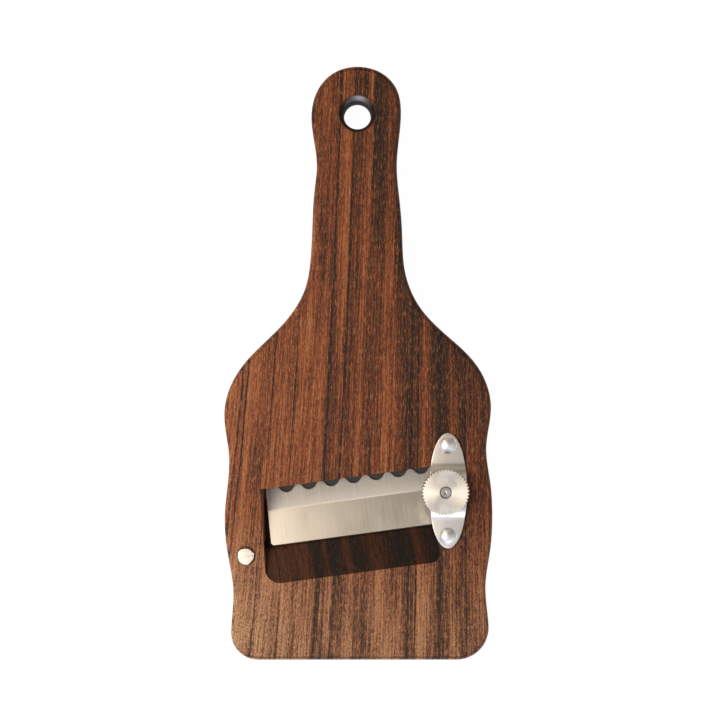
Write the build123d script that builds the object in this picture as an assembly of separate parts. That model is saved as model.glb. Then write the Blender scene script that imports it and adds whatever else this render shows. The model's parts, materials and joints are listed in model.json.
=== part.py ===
"""Wooden truffle slicer: a rosewood board with a wavy blade that a knurled nut raises and lowers.

The board lies on its flat sole, with the handle towards +Y and its face upwards. The face has a
pocket whose floor slopes down towards the handle and breaks out through the sole in a narrow mouth.
The blade lies in the pocket at the same slope, with its wavy edge in the mouth. A screw holds its
tang at the left, and a threaded stud at its right end passes up through a small bridge to the nut.
The origin is under the middle of the board, on the sole.
"""
import math
import os

from build123d import *

# Board, in millimetres
board_length = 220.0
board_width = 99.6
board_thickness = 12.0
board_round = 1.8
lower_right_corner = 12.0
lower_left_corner = 10.0
hanging_hole_diameter = 10.0
hanging_hole_round = 2.0
hanging_hole_from_top = 17.6
hanging_hole_offset = -0.3

# Pocket and mouth, seen from above. Its lower edge crosses the middle of the board at this
# height above the board's lower end, and the pocket is turned by its tilt about that point.
# The wood beside it is half the board's width less the pocket's reach to that side.
pocket_from_end = 32.5
pocket_tilt = 7.7
pocket_width = 35.4
pocket_left_wood_at_lower_edge = 15.4
pocket_left_wood_at_upper_edge = 17.9
pocket_left_draft = 3.5
pocket_right_wood = 18.9
pocket_left_corner = 5.6
pocket_right_corner = 3.4
mouth_width = 5.0
room_under_blade = 1.2

# Blade
blade_thickness = 1.2
blade_width = 22.4
blade_from_left_wall = 1.25
blade_tip_gap = 1.0
blade_tip_height = 0.15
blade_corner = 1.2
bevel_width = 8.6
edge_thickness = 0.12
wave_pitch = 8.55
wave_height = 2.4
wave_from_left = 8.0
crest_share = 0.4
tail_length = 8.0
tail_step = 3.6
tail_corner = 2.0

# Tang and its screw
tang_width = 6.0
tang_neck_width = 3.0
tang_root = 5.0
tang_below_spine = 0.55
screw_from_pocket = 5.8
screw_from_spine = 1.65
screw_point_height = 1.5
kerf_clearance = 0.3
screw_shank_diameter = 3.0
screw_clearance = 0.1
screw_head_diameter = 6.3
screw_head_height = 2.2
screw_head_proud = 0.7
screw_head_clearance = 0.35
screw_slot_width = 0.8
screw_slot_depth = 0.9
screw_slot_angle = 15.5

# Stud and spring
stud_from_pocket = 4.8
stud_from_tip = 8.5
stud_diameter = 4.0
stud_spigot_diameter = 3.0
stud_spigot_fit = 0.02
collar_diameter = 7.2
collar_height = 1.2
stud_dimple_diameter = 1.4
stud_dimple_depth = 0.5
stud_over_knob = 0.1
stud_chamfer = 0.3
spring_wire = 0.8
spring_diameter = 6.4
spring_turns = 4
spring_end_gap = 0.1

# Bridge and its rivets. The bridge spans the blade, so its length follows from the blade's width.
rivet_beyond_blade = 6.3
bridge_beyond_rivet = 4.53
bridge_width = 13.7
bridge_thickness = 1.2
bridge_rise = 1.8
bridge_flat = 14.0
bridge_slope = 2.6
bridge_bend_radius = 1.6
bridge_right_of_stud = 1.2
bridge_hole_clearance = 0.4
rivet_head_diameter = 6.5
rivet_head_height = 1.7
rivet_shank_diameter = 2.6
rivet_length = 9.0
rivet_fit = 0.02

# Knurled nut
knob_diameter = 17.3
knob_rim_height = 4.2
knob_boss_diameter = 11.0
knob_boss_height = 1.1
knob_chamfer = 0.5
knob_bore_clearance = 0.25
knob_seat_gap = 0.08
knurl_count = 42
knurl_depth = 0.45

# Recess for the tail of the blade, beside the pocket under the bridge
recess_side_clearance = 0.7
recess_end_clearance = 0.9
recess_corner = 1.5

# How far cutting tools run past the surfaces that they cut
overrun = 2.0

# Outline of the board, each point as a share of half the width and half the length, from the
# lower right corner up round the head and down to the lower left corner.
right_side_shares = [
    (0.955, -1.0), (0.969, -0.865), (0.949, -0.750), (0.985, -0.628), (1.000, -0.520),
    (0.986, -0.405), (0.955, -0.285), (0.990, -0.145), (0.888, -0.010), (0.603, 0.117),
    (0.447, 0.198), (0.345, 0.320), (0.328, 0.441), (0.307, 0.558), (0.288, 0.664),
    (0.319, 0.833), (0.284, 0.927), (0.195, 0.973),
]
head_top_share = (-0.010, 1.0)
left_side_shares = [
    (-0.203, 0.973), (-0.294, 0.927), (-0.348, 0.839), (-0.308, 0.664), (-0.325, 0.585),
    (-0.340, 0.480), (-0.352, 0.365), (-0.398, 0.248), (-0.591, 0.117), (-0.867, -0.012),
    (-0.997, -0.160), (-0.963, -0.310), (-0.994, -0.510), (-0.973, -0.640), (-0.930, -0.771),
    (-0.945, -0.889), (-0.928, -1.0),
]

# Outline of the bridge from above, one quarter of it from its middle to its tip, as shares of
# half its width and half its length.
bridge_quarter_shares = [(1.0, 0.0), (0.93, 0.48), (0.80, 0.645), (0.66, 0.78), (0.50, 0.895)]

# Places and levels that follow from the sizes
pocket_frame = Plane(origin=(0, -board_length / 2 + pocket_from_end, 0)).rotated((0, 0, pocket_tilt))
pocket_left_at_lower_edge = pocket_left_wood_at_lower_edge - board_width / 2
pocket_left_at_upper_edge = pocket_left_wood_at_upper_edge - board_width / 2
pocket_right = board_width / 2 - pocket_right_wood
blade_tip_along = pocket_width - blade_tip_gap
ramp_slope = (board_thickness + room_under_blade - blade_tip_height) / blade_tip_along
ramp_angle = math.degrees(math.atan(ramp_slope))
ramp_cosine = math.cos(math.atan(ramp_slope))
blade_left = pocket_left_at_upper_edge + blade_from_left_wall
blade_spine_along = blade_tip_along - blade_width * ramp_cosine
blade_spine_height = blade_tip_height + blade_width * ramp_cosine * ramp_slope
first_wave = blade_left + wave_from_left
wave_count = int((pocket_right - first_wave) / wave_pitch) + 1
tang_height = blade_spine_height - tang_below_spine
tang_screw_across = pocket_left_at_lower_edge - screw_from_pocket
tang_screw_along = blade_spine_along - screw_from_spine
stud_across = pocket_right + stud_from_pocket
stud_along = blade_tip_along - stud_from_tip
stud_on_board = pocket_frame.from_local_coords((stud_across, stud_along, 0))
blade_right = stud_across + tail_length / 2
recess_low = blade_spine_along - recess_side_clearance
recess_right = blade_right + recess_end_clearance
bridge_centre = (stud_on_board.X + bridge_right_of_stud, stud_on_board.Y)
rivet_spacing = blade_width * ramp_cosine + 2 * rivet_beyond_blade
bridge_length = rivet_spacing + 2 * bridge_beyond_rivet
bridge_under = board_thickness + bridge_rise
bridge_top = bridge_under + bridge_thickness
knob_bottom = bridge_top + knob_seat_gap
knob_top = knob_bottom + knob_boss_height + knob_rim_height


def blade_underside(along):
    """Height of the underside of the blade at a distance along the pocket, from its lower edge."""
    return blade_tip_height + (blade_tip_along - along) * ramp_slope


def in_pocket(shape):
    """Carry a shape from the pocket's own axes to the board's axes."""
    return pocket_frame.location * shape


def column(sketch, low, high):
    """Upright prism over a flat sketch, between two levels."""
    return extrude(Pos(0, 0, low) * sketch, amount=high - low)


def round_bar(diameter, low, high, centre=(0, 0)):
    """Upright cylinder between two levels."""
    return column(Pos(*centre) * Circle(diameter / 2), low, high)


def board_outline():
    """Flat outline of the board: two wavy sides, a round head and a straight lower end."""
    half = (board_width / 2, board_length / 2)
    shares = right_side_shares + [head_top_share] + left_side_shares
    points = [(half[0] * x, half[1] * y) for x, y in shares]
    side = Spline(*points)
    face = make_face(side + Line(points[-1], points[0]))
    corners = [v for v in face.vertices() if v.Y < -half[1] + board_round / 2]
    left, right = sorted(corners, key=lambda v: v.X)
    face = fillet(left, lower_left_corner)
    right = [v for v in face.vertices() if v.center() == right.center()]
    return fillet(right, lower_right_corner)


def pocket_plan():
    """Pocket seen from above in its own axes, with the recess for the tail at its right."""
    upper = pocket_width
    shift = (pocket_left_at_upper_edge - pocket_left_at_lower_edge) / pocket_width * overrun
    main = Polygon(
        (pocket_left_at_lower_edge - shift, -overrun),
        (pocket_right, -overrun),
        (pocket_right, upper),
        (pocket_left_at_upper_edge, upper),
        align=None,
    )
    lower_edge = Rectangle(board_width, overrun, align=(Align.CENTER, Align.MAX))
    main -= lower_edge
    lower = main.vertices().filter_by(lambda v: v.Y < overrun)
    main = fillet(lower.sort_by(Axis.X)[0], pocket_left_corner)
    lower = main.vertices().filter_by(lambda v: v.Y < overrun and v.X > 0)
    main = fillet(lower.sort_by(Axis.X)[-1], pocket_right_corner)
    corners = [(0, recess_low), (recess_right, recess_low), (recess_right, upper), (0, upper)]
    recess = Polygon(*corners, align=None)
    recess = fillet(recess.vertices().filter_by(lambda v: v.X > 0 and v.Y < upper - overrun), recess_corner)
    return main + recess


def pocket_section():
    """Section across the pocket: the sloping floor, the mouth and the upright upper wall."""
    top = board_thickness + overrun
    mouth_start = pocket_width - mouth_width
    return Polygon(
        (-overrun / ramp_slope, top),
        (mouth_start, board_thickness - mouth_start * ramp_slope),
        (mouth_start, -overrun),
        (pocket_width, -overrun),
        (pocket_width, top),
        align=None,
    )


def along_pocket(section, left, right):
    """Prism whose section stands across the pocket, between two places along it."""
    upright = Plane(origin=(left, 0, 0), x_dir=(0, 1, 0), z_dir=(1, 0, 0))
    return extrude(upright.location * section, amount=right - left)


def right_of_left_wall():
    """Everything to the right of the pocket's left wall, which leans outwards towards the face."""
    foot = Vector(pocket_left_at_lower_edge, 0, board_thickness)
    head = Vector(pocket_left_at_upper_edge, pocket_width, board_thickness)
    along = (head - foot).normalized()
    draft = math.radians(pocket_left_draft)
    inwards = along.cross(Vector(0, 0, 1)) * math.cos(draft) + Vector(0, 0, 1) * math.sin(draft)
    wall = Plane(origin=foot, x_dir=along, z_dir=inwards)
    return half_space(wall.location, Align.MIN)


def half_space(slope, side):
    """Everything on one side of a sloping plane: above it with Align.MIN, below it with Align.MAX."""
    size = 2 * board_length
    return slope * Box(size, size, size, align=(Align.CENTER, Align.CENTER, side))


def tang_plan(extra=0.0):
    """Tang seen from above in the pocket's axes: an eye round the screw and a neck to the blade."""
    eye = Pos(tang_screw_across, tang_screw_along) * Circle(tang_width / 2 + extra)
    half = tang_neck_width / 2 + extra
    root_along = blade_spine_along + tang_neck_width / 2
    neck = Polygon(
        (tang_screw_across, tang_screw_along - half),
        (blade_left, root_along - half),
        (blade_left + tang_root, root_along - half),
        (blade_left + tang_root, root_along + half),
        (blade_left, root_along + half),
        (tang_screw_across, tang_screw_along + half),
        align=None,
    )
    return eye + neck


def hanging_hole_cutter():
    """Bore through the handle, widening at both faces over a round edge."""
    radius = hanging_hole_diameter / 2
    r = hanging_hole_round
    lift = r * (1 - math.sqrt(0.5))
    profile = make_face(
        Polyline((0, -overrun), (radius + r, -overrun), (radius + r, 0))
        + ThreePointArc((radius + r, 0), (radius + lift, r - r * math.sqrt(0.5)), (radius, r))
        + Line((radius, r), (radius, board_thickness - r))
        + ThreePointArc(
            (radius, board_thickness - r),
            (radius + lift, board_thickness - r + r * math.sqrt(0.5)),
            (radius + r, board_thickness),
        )
        + Polyline(
            (radius + r, board_thickness),
            (radius + r, board_thickness + overrun),
            (0, board_thickness + overrun),
            (0, -overrun),
        )
    )
    upright = Plane.XZ
    cutter = revolve(upright.location * profile, Axis.Z)
    place = (hanging_hole_offset, board_length / 2 - hanging_hole_from_top, 0)
    return Pos(*place) * cutter


def rivet_places():
    """Centres of the upper and the lower rivet."""
    x, y = bridge_centre
    return [(x, y + rivet_spacing / 2), (x, y - rivet_spacing / 2)]


def make_board():
    """Rosewood board with its pocket, mouth, kerf, hanging hole and blind holes."""
    board = column(board_outline(), 0, board_thickness)
    rims = board.edges().filter_by(lambda e: e.bounding_box().size.Z < edge_thickness)
    board = fillet(rims, board_round)
    board -= hanging_hole_cutter()
    room = column(pocket_plan(), -overrun, board_thickness + overrun)
    room &= along_pocket(pocket_section(), -board_width / 2, recess_right + overrun)
    board -= in_pocket(room & right_of_left_wall())
    kerf_low = tang_height - kerf_clearance
    kerf_high = tang_height + blade_thickness + kerf_clearance
    board -= in_pocket(column(tang_plan(kerf_clearance), kerf_low, kerf_high))
    seat = board_thickness + screw_head_proud - screw_head_height
    place = (tang_screw_across, tang_screw_along)
    head_room = screw_head_diameter + 2 * screw_head_clearance
    board -= in_pocket(round_bar(head_room, seat, board_thickness + overrun, place))
    shank_room = screw_shank_diameter + 2 * rivet_fit
    board -= in_pocket(round_bar(shank_room, screw_point_height, board_thickness, place))
    hole_bottom = board_thickness + bridge_thickness - rivet_length
    for rivet_place in rivet_places():
        hole = rivet_shank_diameter + 2 * rivet_fit
        board -= round_bar(hole, hole_bottom, board_thickness + overrun, rivet_place)
    return board


def blade_wave_cutter(centre):
    """One hollow of the wavy edge, in the plane of the blade, with half a crest at each side."""
    half = wave_pitch / 2
    radii = (half**2 + wave_height**2) / (2 * wave_height)
    crest = radii * crest_share
    hollow = radii - crest
    lean = half / radii
    rise = (radii - wave_height) / radii
    tip = blade_width
    low = tip - wave_height
    join = (half - crest * lean, tip - crest + crest * rise)
    mid = math.sqrt((1 + rise) / 2)
    side = math.sqrt((1 - rise) / 2)
    crest_mid = (half - crest * side, tip - crest + crest * mid)
    line = (
        ThreePointArc((-half, tip), (-crest_mid[0], crest_mid[1]), (-join[0], join[1]))
        + ThreePointArc((-join[0], join[1]), (0, low), join)
        + ThreePointArc(join, crest_mid, (half, tip))
        + Polyline((half, tip), (half, tip + overrun), (-half, tip + overrun), (-half, tip))
    )
    return Pos(centre, 0) * make_face(line)


def make_blade():
    """Blade with a bevelled wavy edge, a stepped tail for the stud and a flat tang.

    It is drawn flat, with its spine on the first axis, then laid on its slope in the pocket.
    """
    tip_offset = blade_width - edge_thickness
    plan = Polygon(
        (blade_left, 0), (blade_right, 0), (blade_right, blade_width), (blade_left, blade_width), align=None
    )
    plan = fillet(plan.vertices().filter_by(lambda v: v.X < 0 and v.Y < overrun), blade_corner)
    tail_start = first_wave + (wave_count - 1 / 2) * wave_pitch
    plan -= Polygon(
        (tail_start, tip_offset + overrun),
        (tail_start, tip_offset),
        (tail_start + tail_step / 2, blade_width - tail_step),
        (blade_right + overrun, blade_width - tail_step),
        (blade_right + overrun, tip_offset + overrun),
        align=None,
    )
    tail_ends = plan.vertices().filter_by(lambda v: v.X > blade_right - edge_thickness)
    plan = fillet(tail_ends, tail_corner)
    for index in range(wave_count):
        plan -= blade_wave_cutter(first_wave + index * wave_pitch)
    plate = column(plan, 0, blade_thickness)
    bevel = Polygon(
        (blade_width - bevel_width, blade_thickness),
        (blade_width + bevel_width, edge_thickness * 2 - blade_thickness),
        (blade_width + bevel_width, blade_thickness + overrun),
        (blade_width - bevel_width, blade_thickness + overrun),
        align=None,
    )
    plate -= along_pocket(bevel, blade_left - overrun, tail_start + tail_step / 2)
    slope = Location((0, blade_spine_along, blade_spine_height), (-ramp_angle, 0, 0))
    plate = slope * plate
    tang = column(tang_plan(), tang_height, tang_height + blade_thickness)
    tang &= half_space(slope * Pos(0, 0, blade_thickness), Align.MAX)
    blade = plate + tang
    screw_hole = screw_shank_diameter + 2 * screw_clearance
    blade -= round_bar(screw_hole, 0, board_thickness, (tang_screw_across, tang_screw_along))
    spigot_hole = stud_spigot_diameter + 2 * stud_spigot_fit
    blade -= round_bar(spigot_hole, 0, board_thickness, (stud_across, stud_along))
    return in_pocket(blade)


def make_blade_stud():
    """Threaded stud with a collar cut off at the slope of the blade and a spigot through it."""
    place = (stud_across, stud_along)
    foot = blade_underside(stud_along) + blade_thickness / ramp_cosine
    collar_top = foot + collar_diameter / 2 * ramp_slope + collar_height
    stud = round_bar(collar_diameter, 0, collar_top, place)
    over_blade = half_space(Location((0, stud_along, foot), (-ramp_angle, 0, 0)), Align.MIN)
    stud &= over_blade
    top = knob_top + stud_over_knob
    shaft = round_bar(stud_diameter, foot, top, place)
    shaft = chamfer(shaft.faces().sort_by(Axis.Z)[-1].edges(), stud_chamfer)
    stud += shaft & over_blade
    underside = Location((0, stud_along, blade_underside(stud_along)), (-ramp_angle, 0, 0))
    spigot = round_bar(stud_spigot_diameter, 0, foot + collar_height / 2, place)
    stud += spigot & half_space(underside, Align.MIN)
    under_top = (Align.CENTER, Align.CENTER, Align.MAX)
    dimple = Cone(0, stud_dimple_diameter / 2, stud_dimple_depth, align=under_top)
    stud -= Pos(*place, top) * dimple
    return in_pocket(stud)


def spring_path(bottom, top, radius, turns):
    """Helix in arcs of a quarter turn, each through the helix's own points at its ends and middle."""
    quarters = 4 * turns
    step = (top - bottom) / quarters
    arcs = []
    for index in range(quarters):
        points = []
        for part in (0, 1 / 2, 1):
            angle = (index + part) * math.pi / 2
            height = bottom + step * (index + part)
            points.append((radius * math.cos(angle), radius * math.sin(angle), height))
        arcs.append(ThreePointArc(*points))
    return Wire(arcs)


def make_return_spring():
    """Open coil spring between the collar of the stud and the underside of the bridge."""
    foot = blade_underside(stud_along) + blade_thickness / ramp_cosine
    collar_top = foot + collar_diameter / 2 * ramp_slope + collar_height
    radius = (spring_diameter - spring_wire) / 2
    low = collar_top + spring_end_gap + spring_wire / 2
    high = bridge_under - spring_end_gap - spring_wire / 2
    path = spring_path(low, high, radius, spring_turns)
    pitch = (high - low) / spring_turns
    gap = pitch - spring_wire
    print(f"return_spring: {spring_turns} turns, least gap of the wire to itself {gap:.2f} mm")
    start = Plane(origin=path @ 0, z_dir=path % 0)
    spring = sweep(start * Circle(spring_wire / 2), path=path)
    return in_pocket(Pos(stud_across, stud_along) * spring)


def make_bridge():
    """Arched strip with lens-shaped ends, a hole for the stud and a hole at each rivet."""
    half = bridge_length / 2
    quarter = [(x * bridge_width / 2, y * half) for x, y in bridge_quarter_shares]
    lower_quarter = [(x, -y) for x, y in reversed(quarter[1:])]
    side = Spline(*lower_quarter, *quarter)
    shoulder = quarter[-1]
    end = ThreePointArc(shoulder, (0, half), (-shoulder[0], shoulder[1]))
    plan = make_face(side + mirror(side, about=Plane.YZ) + end + mirror(end, about=Plane.XZ))
    flat = bridge_flat / 2
    foot = flat + bridge_slope

    def line(level, radius):
        points = [(-half, 0), (-foot, 0), (-flat, bridge_rise), (flat, bridge_rise), (foot, 0), (half, 0)]
        return FilletPolyline(*[(y, z + level) for y, z in points], radius=radius)

    low = board_thickness
    high = board_thickness + bridge_thickness
    ends = Line((half, low), (half, high)) + Line((-half, low), (-half, high))
    strip = make_face(line(low, bridge_bend_radius) + line(high, bridge_bend_radius) + ends)
    upright = Plane(origin=(-bridge_width, 0, 0), x_dir=(0, 1, 0), z_dir=(1, 0, 0))
    arch = extrude(upright.location * strip, amount=2 * bridge_width)
    bridge = Pos(*bridge_centre) * (arch & column(plan, 0, bridge_top + overrun))
    hole = stud_diameter + 2 * bridge_hole_clearance
    bridge -= in_pocket(round_bar(hole, board_thickness, bridge_top + overrun, (stud_across, stud_along)))
    for place in rivet_places():
        bridge -= round_bar(rivet_shank_diameter + 2 * rivet_fit, 0, bridge_top, place)
    return bridge


def make_rivet(place):
    """Domed pin, driven through the foot of the bridge into a blind hole in the board."""
    seat = board_thickness + bridge_thickness
    radius = rivet_head_diameter / 2
    ball = (radius**2 + rivet_head_height**2) / (2 * rivet_head_height)
    dome = Pos(0, 0, seat + rivet_head_height - ball) * Sphere(ball)
    dome &= round_bar(rivet_head_diameter, seat, seat + rivet_head_height)
    shank = round_bar(rivet_shank_diameter, seat - rivet_length, seat)
    return Pos(*place) * (dome + shank)


def make_tang_screw():
    """Slotted screw, its head a little proud of the board."""
    top = board_thickness + screw_head_proud
    seat = top - screw_head_height
    head = round_bar(screw_head_diameter, seat, top)
    head = chamfer(head.faces().sort_by(Axis.Z)[-1].edges(), screw_slot_width / 2)
    under_top = (Align.CENTER, Align.CENTER, Align.MAX)
    slot = Box(screw_head_diameter * 2, screw_slot_width, screw_slot_depth, align=under_top)
    head -= Pos(0, 0, top) * Rot(0, 0, screw_slot_angle - pocket_tilt) * slot
    screw = head + round_bar(screw_shank_diameter, screw_point_height, seat)
    return in_pocket(Pos(tang_screw_across, tang_screw_along) * screw)


def make_adjuster_knob():
    """Round nut with straight knurls, chamfered rims and a smaller boss that turns on the bridge."""
    outer = knob_diameter / 2
    inner = outer - knurl_depth
    points = []
    for index in range(2 * knurl_count):
        radius = outer if index % 2 == 0 else inner
        angle = math.pi * index / knurl_count
        points.append((radius * math.cos(angle), radius * math.sin(angle)))
    rim_bottom = knob_bottom + knob_boss_height
    knob = column(Polygon(*points, align=None), rim_bottom, knob_top)
    turned = round_bar(knob_diameter, rim_bottom, knob_top)
    turned = chamfer(turned.edges().filter_by(GeomType.CIRCLE), knob_chamfer)
    knob = (knob & turned) + round_bar(knob_boss_diameter, knob_bottom, rim_bottom)
    knob -= round_bar(stud_diameter + 2 * knob_bore_clearance, 0, knob_top + overrun)
    return in_pocket(Pos(stud_across, stud_along) * knob)


def main():
    upper, lower = rivet_places()
    nodes = {
        "board": make_board(),
        "blade": make_blade(),
        "blade_stud": make_blade_stud(),
        "return_spring": make_return_spring(),
        "bridge": make_bridge(),
        "upper_bridge_rivet": make_rivet(upper),
        "lower_bridge_rivet": make_rivet(lower),
        "tang_screw": make_tang_screw(),
        "adjuster_knob": make_adjuster_knob(),
    }
    os.makedirs("parts", exist_ok=True)
    for name, shape in nodes.items():
        export_step(shape, f"parts/{name}.step")


main()
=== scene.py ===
"""Truffle slicer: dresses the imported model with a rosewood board, turned and ground metal pieces,
soft studio light and a camera that looks straight down on it.

The board lies on its sole with the handle towards +Y. Sizes are in metres. Each piece takes its
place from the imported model's own boxes, and its shape is a surface worked out as whole arrays.
"""

import functools
import json
import math

import bmesh
import bpy
import numpy as np
from bpy.props import FloatProperty, FloatVectorProperty, IntProperty, PointerProperty
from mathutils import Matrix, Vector


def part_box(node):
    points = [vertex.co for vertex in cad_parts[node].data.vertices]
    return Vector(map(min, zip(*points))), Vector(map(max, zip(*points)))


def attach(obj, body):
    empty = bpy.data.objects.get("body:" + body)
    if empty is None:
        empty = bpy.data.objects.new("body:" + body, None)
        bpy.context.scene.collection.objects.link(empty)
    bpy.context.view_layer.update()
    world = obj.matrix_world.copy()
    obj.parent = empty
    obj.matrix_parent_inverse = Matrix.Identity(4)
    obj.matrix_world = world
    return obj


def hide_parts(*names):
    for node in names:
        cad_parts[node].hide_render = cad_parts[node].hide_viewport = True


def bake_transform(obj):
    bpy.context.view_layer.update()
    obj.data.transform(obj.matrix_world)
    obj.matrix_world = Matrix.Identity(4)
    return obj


bl_info = {
    "name": "Truffle slicer",
    "version": (1, 0, 0),
    "blender": (4, 5, 0),
    "location": "3D View > Sidebar > Slicer",
    "description": "Builds the visible pieces, finishes and studio of a wooden truffle slicer",
    "category": "Object",
}

MM = 0.001
TURN = 2 * math.pi

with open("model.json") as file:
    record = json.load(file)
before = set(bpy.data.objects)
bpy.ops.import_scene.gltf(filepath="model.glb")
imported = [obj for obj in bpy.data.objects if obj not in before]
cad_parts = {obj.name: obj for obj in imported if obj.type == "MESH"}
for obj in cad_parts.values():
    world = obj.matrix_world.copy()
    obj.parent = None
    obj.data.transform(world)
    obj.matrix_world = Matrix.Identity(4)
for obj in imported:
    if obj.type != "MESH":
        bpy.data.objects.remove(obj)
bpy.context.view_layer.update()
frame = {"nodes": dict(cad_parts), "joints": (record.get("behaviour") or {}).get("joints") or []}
face_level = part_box("board")[1].z
tilt_axis = Vector(next(j["axis"] for j in frame["joints"] if j["name"] == "blade_tilt"))

# How far the blade and its pocket are turned on the board
skew = math.atan2(-tilt_axis.x, tilt_axis.y)


def hex_colour(text):
    """Linear colour of an sRGB hex value such as 6F432F."""
    values = [int(text[i : i + 2], 16) / 255 for i in (0, 2, 4)]
    linear = [v / 12.92 if v <= 0.04045 else ((v + 0.055) / 1.055) ** 2.4 for v in values]
    return (*linear, 1.0)


def middle(node):
    """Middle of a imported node's box."""
    low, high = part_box(node)
    return (low + high) / 2


def colour_property(name, description, default):
    """Colour setting that starts from an sRGB hex value."""
    return FloatVectorProperty(
        name=name, description=description, subtype="COLOR", size=4, min=0, max=1, default=hex_colour(default)
    )


def length_property(name, description, millimetres):
    """Length setting, given in millimetres and kept in metres."""
    return FloatProperty(name=name, description=description, unit="LENGTH", default=millimetres * MM)


class WoodSettings(bpy.types.PropertyGroup):
    """Colours and grain of the board"""

    light: colour_property("Light grain", "Palest streaks of the rosewood", "B37346")
    middle: colour_property("Middle grain", "Main reddish brown of the rosewood", "804024")
    dark: colour_property("Dark grain", "Darkest streaks of the rosewood", "1E100B")
    deep: colour_property("Deep grain", "Deep brown between the middle and the darkest grain", "4E2C1B")
    pore_colour: colour_property("Open pores", "Dark bottoms of the open pores", "1E0F0A")
    fleck: colour_property("Flecks", "Pale flecks where closed pores catch the light", "CC9466")
    # Pale specks, partly where the oil is worn off and partly painted sheen.
    pale_specks_and_sheen: colour_property("Dry specks", "Specks where the oil is worn off", "D2B08C")
    # Cut grain and painted shade: multiplies the pocket's ramp and walls and the board's ends darker.
    cut_grain_and_shade: colour_property("Cut grain", "Multiplies the colour where a cut crosses the grain", "7A6444")
    rim_colour: colour_property("Rim", "Dark, polished rim of the hanging hole", "150D0D")
    # Painted highlight on the hole's upper lip, with a brighter painted tone in its middle.
    highlighted: colour_property("Rubbed lip", "Upper lip of the hole, rubbed by a hook", "7C7674")
    shine: colour_property("Shine", "Light that the rubbed lip catches", "C6C4D2")
    streak: length_property("Streak width", "Width of one streak across the grain", 1.0)
    pore: length_property("Pore width", "Width of one open pore, drawn wide enough to show", 0.3)
    worn_edge: length_property("Worn edge", "Width of the worn edges", 0.25)
    hole_across: length_property("Hole across", "Middle of the hanging hole across the board", -0.3)
    hole_along: length_property("Hole along", "Middle of the hanging hole along the board", 92.4)
    hole_rim: length_property("Hole rim", "Radius of the hole's dark, polished rim", 7.2)
    throat: length_property("Hole throat", "Height at which the hole is narrowest", 5.0)
    throat_radius: length_property("Throat radius", "Radius of the hole where it is narrowest", 5.02)
    flare: length_property("Hole flare", "How much wider the hole is worn at the top", 2.0)


class BladeSettings(bpy.types.PropertyGroup):
    """Sizes and colour of the blade. Places along it are measured from the stud's axis"""

    colour: colour_property("Steel", "Ground stainless steel", "E2DFDA")
    bevel_colour: colour_property("Bevel steel", "Coarser ground steel of the bevel", "F4F2EE")
    # Painted shade: near black on the tang, standing in for the shade in the gap where it shows.
    tang_shade_colour: colour_property("Scale", "Dark scale left on the tang", "1A1614")
    thickness: length_property("Thickness", "Thickness of the plate", 1.2)
    width: length_property("Width", "From the spine to the tips of the wavy edge", 22.4)
    edge: length_property("Edge", "Thickness left at the tips", 0.12)
    bevel: length_property("Bevel", "Width of the ground bevel", 8.6)
    angle: FloatProperty(
        name="Angle", description="Slope of the blade", unit="ROTATION", default=math.radians(20.776)
    )
    left: length_property("Left", "From the stud to the left end", 66.35)
    right: length_property("Right", "From the stud to the right end", 4.0)
    tip_from_stud: length_property("Tips from stud", "Level distance from the stud to the tips", 8.5)
    tip_height: length_property("Tip height", "Height of the tips over the sole", 0.15)
    pitch: length_property("Wave pitch", "From one hollow to the next", 8.55)
    hollow: length_property("Hollow", "Depth of the hollows", 2.4)
    first: length_property("First hollow", "From the left end to the first hollow", 8.0)
    waves: IntProperty(name="Waves", description="Hollows in the edge", default=7, min=1)
    step: length_property("Tail step", "How far the tail stands back from the tips", 3.6)


class FittingSettings(bpy.types.PropertyGroup):
    """Sizes and colours of the bridge, the nut and the other fittings"""

    bridge_colour: colour_property("Bridge", "Satin stainless strip", "DED9D2")
    nut_colour: colour_property("Nut", "Turned, nickel plated brass", "F8F0E4")
    rivet_colour: colour_property("Rivets", "Polished steel", "F2F2F2")
    screw_colour: colour_property("Screw", "Nickel plated, worn", "E2DBD0")
    stud_colour: colour_property("Stud", "Turned steel", "C2C1BD")
    wire_colour: colour_property("Wire", "Drawn steel wire of the spring", "8C8B88")
    strip: length_property("Strip", "Thickness of the bridge's strip", 1.2)
    flat: length_property("Flat", "Raised length of the bridge", 14.0)
    slope: length_property("Slope", "Length of each slope of the bridge", 2.6)
    strip_edge: length_property("Strip edge", "Rounding of the strip's edges", 0.3)
    bend: length_property("Bend", "Softness of the bridge's bends", 0.9)
    boss: length_property("Boss", "Diameter of the nut's boss", 11.0)
    boss_height: length_property("Boss height", "Height of the nut's boss", 1.1)
    bore: length_property("Bore", "Diameter of the nut's bore", 4.4)
    knurls: IntProperty(name="Knurls", description="Ridges round the nut", default=42, min=8)
    knurl: length_property("Knurl depth", "Depth of the grooves between the ridges", 0.85)
    thread: length_property("Thread", "Diameter of the stud's thread", 4.0)
    thread_pitch: length_property("Thread pitch", "Pitch of the stud's thread", 0.7)
    collar_height: length_property("Collar", "Least height of the stud's collar", 1.2)
    spigot: length_property("Spigot", "Diameter of the stud where it passes through the blade", 3.0)
    wire: length_property("Wire", "Diameter of the spring's wire", 0.8)
    coils: IntProperty(name="Coils", description="Turns of the spring", default=4, min=2)


class StageSettings(bpy.types.PropertyGroup):
    """Camera and light"""

    distance: length_property("Camera distance", "Height of the camera over the board's face", 500)
    field: length_property("Field of view", "Width of the picture at the board's face", 266.3)
    across: length_property("Camera X", "Place of the camera across the board", 0.68)
    along: length_property("Camera Y", "Place of the camera along the board", 1.19)
    gap: length_property("Gap", "Gap between the sole and the floor", 0.1)


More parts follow.
